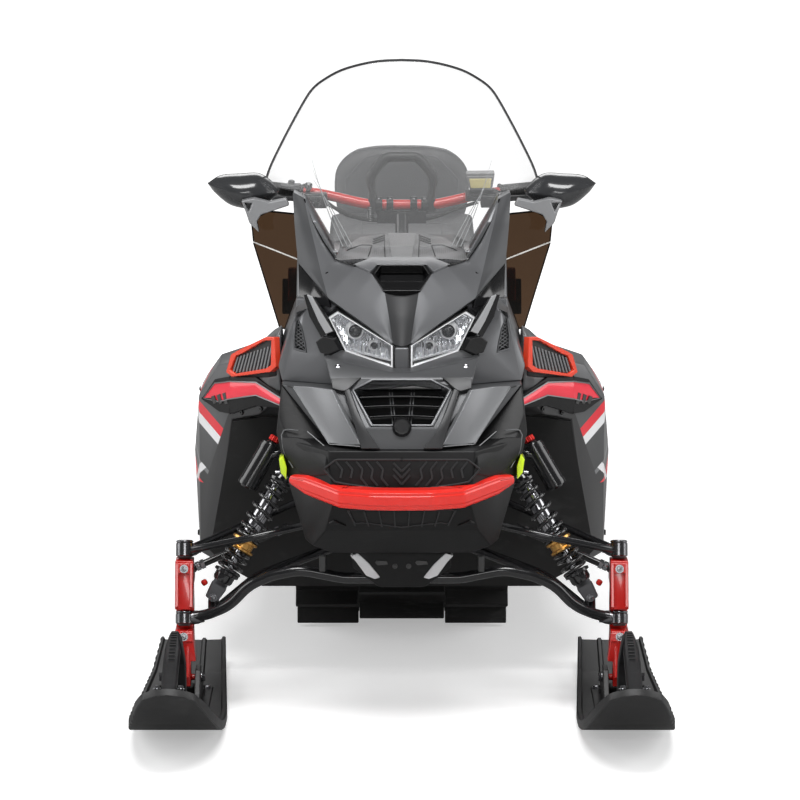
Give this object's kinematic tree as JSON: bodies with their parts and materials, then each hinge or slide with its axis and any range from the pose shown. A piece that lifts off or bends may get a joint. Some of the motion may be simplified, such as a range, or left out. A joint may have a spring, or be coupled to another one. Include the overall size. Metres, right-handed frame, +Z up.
{
  "type": "snowmobile",
  "caption": "Two-seat touring snowmobile with a steered ski pair, a rubber track, tall windshield, wind deflectors, backrest and rear rack.",
  "frame": {"origin": "on the ground, midway between the ski tips and the hitch end, on the centre plane", "axes": "+Z up, the machine's front faces -Y, +X is the rider's left"},
  "size_m": [1.18, 3.25, 1.412],
  "materials": {
    "ski_plastic": "moulded, slightly textured",
    "handle_plastic": "moulded",
    "red_paint": "gloss red",
    "black_paint": "satin black powder coat",
    "damper_steel": "gloss black with bright rod",
    "spring_steel": "gloss black",
    "frame_alloy": "bare alloy",
    "engine_alloy": "cast, dull",
    "tunnel_paint": "satin black",
    "skid_plastic": "moulded",
    "lamp_glass": "clear lens over a bright reflector",
    "body_grey": "satin metallic dark grey",
    "body_black": "gloss black",
    "belly_plastic": "moulded black",
    "bumper_red": "gloss red",
    "reflector_yellow": "fluorescent reflector",
    "panel_grey": "gloss grey with red, white and black graphics",
    "vent_red": "satin red surround",
    "console_plastic": "ribbed grey",
    "screen_clear": "clear with a dark edge",
    "screen_smoke": "brown smoked",
    "mirror_housing": "satin dark grey",
    "bracket_silver": "satin silver grey",
    "bar_red": "gloss red",
    "grip_rubber": "moulded",
    "control_plastic": "moulded",
    "track_rubber": "moulded, worn matt",
    "rail_alloy": "extruded",
    "wheel_plastic": "rubber tyred",
    "axle_steel": "plain",
    "seat_vinyl": "grained vinyl",
    "rack_paint": "textured black",
    "lamp_red": "red lens",
    "flap_rubber": "moulded"
  },
  "bodies": {
    "chassis": {"upper_arms": "black_paint", "lower_arms": "black_paint", "front_shocks": "damper_steel", "front_springs": "spring_steel", "shock_reservoirs": "black_paint", "front_frame": "frame_alloy", "skid_plate": "skid_plastic", "engine": "engine_alloy", "tunnel_top": "tunnel_paint", "tunnel_sides": "tunnel_paint", "running_boards": "tunnel_paint", "headlights": "lamp_glass", "hood": "body_grey", "nose_vents": "body_grey", "nose_panel": "body_grey", "lower_nose": "body_black", "belly_pan": "belly_plastic", "front_bumper": "bumper_red", "front_reflectors": "reflector_yellow", "side_panels": "panel_grey", "side_vents": "vent_red", "console": "console_plastic", "steering_bearing": "frame_alloy", "windshield": "screen_clear", "mirrors": "mirror_housing", "mirror_brackets": "bracket_silver", "upper_deflectors": "screen_smoke", "lower_deflectors": "screen_smoke", "track": "track_rubber", "slide_rails": "rail_alloy", "idler_wheels": "wheel_plastic", "wheel_axles": "axle_steel", "drive_axle": "axle_steel", "track_arms": "black_paint", "seat": "seat_vinyl", "backrest": "seat_vinyl", "backrest_frame": "rack_paint", "rear_rack": "rack_paint", "tail_light": "lamp_red", "rear_bumper": "rack_paint", "hitch": "rack_paint", "snow_flap": "flap_rubber"},
    "handlebar": {"steering_post": "black_paint", "handlebar": "bar_red", "grips": "grip_rubber", "hand_controls": "control_plastic", "grab_hook": "grip_rubber"},
    "left_leg": {"spindle_left": "red_paint"},
    "right_leg": {"spindle_right": "red_paint"},
    "left_ski": {"ski_left": "ski_plastic", "ski_loop_left": "handle_plastic"},
    "right_ski": {"ski_right": "ski_plastic", "ski_loop_right": "handle_plastic"},
    "left_tie_rod": {"tie_rod_left": "black_paint"},
    "right_tie_rod": {"tie_rod_right": "black_paint"}
  },
  "joints": [
    {"name": "handlebar_turn", "type": "hinge", "parent": "chassis", "child": "handlebar", "pos_m": [0, -0.345, 1.045], "axis": [0, 0.5446, 0.8387], "range_deg": [-32, 32]},
    {"name": "left_ski_steer", "type": "hinge", "parent": "chassis", "child": "left_leg", "pos_m": [0.482, -1.065, 0.217], "axis": [0, 0.2676, 0.9635], "range_deg": [-30, 30]},
    {"name": "left_ski_rock", "type": "hinge", "parent": "left_leg", "child": "left_ski", "pos_m": [0.487, -1.085, 0.088], "axis": [1, 0, 0], "range_deg": [-15, 12]},
    {"name": "left_tie_rod_eye", "type": "hinge", "parent": "left_leg", "child": "left_tie_rod", "pos_m": [0.47, -0.935, 0.3], "axis": [0, 0.2676, 0.9635], "range_deg": [-30, 30]},
    {"name": "right_ski_steer", "type": "hinge", "parent": "chassis", "child": "right_leg", "pos_m": [-0.482, -1.065, 0.217], "axis": [0, 0.2676, 0.9635], "range_deg": [-30, 30]},
    {"name": "right_ski_rock", "type": "hinge", "parent": "right_leg", "child": "right_ski", "pos_m": [-0.487, -1.085, 0.088], "axis": [1, 0, 0], "range_deg": [-15, 12]},
    {"name": "right_tie_rod_eye", "type": "hinge", "parent": "right_leg", "child": "right_tie_rod", "pos_m": [-0.47, -0.935, 0.3], "axis": [0, 0.2676, 0.9635], "range_deg": [-30, 30]}
  ],
  "couplings": [
    {"joint": "left_ski_steer", "follows": "handlebar_turn", "ratio": 0.9},
    {"joint": "left_tie_rod_eye", "follows": "handlebar_turn", "ratio": -0.9},
    {"joint": "right_ski_steer", "follows": "handlebar_turn", "ratio": 0.9},
    {"joint": "right_tie_rod_eye", "follows": "handlebar_turn", "ratio": -0.9}
  ]
}
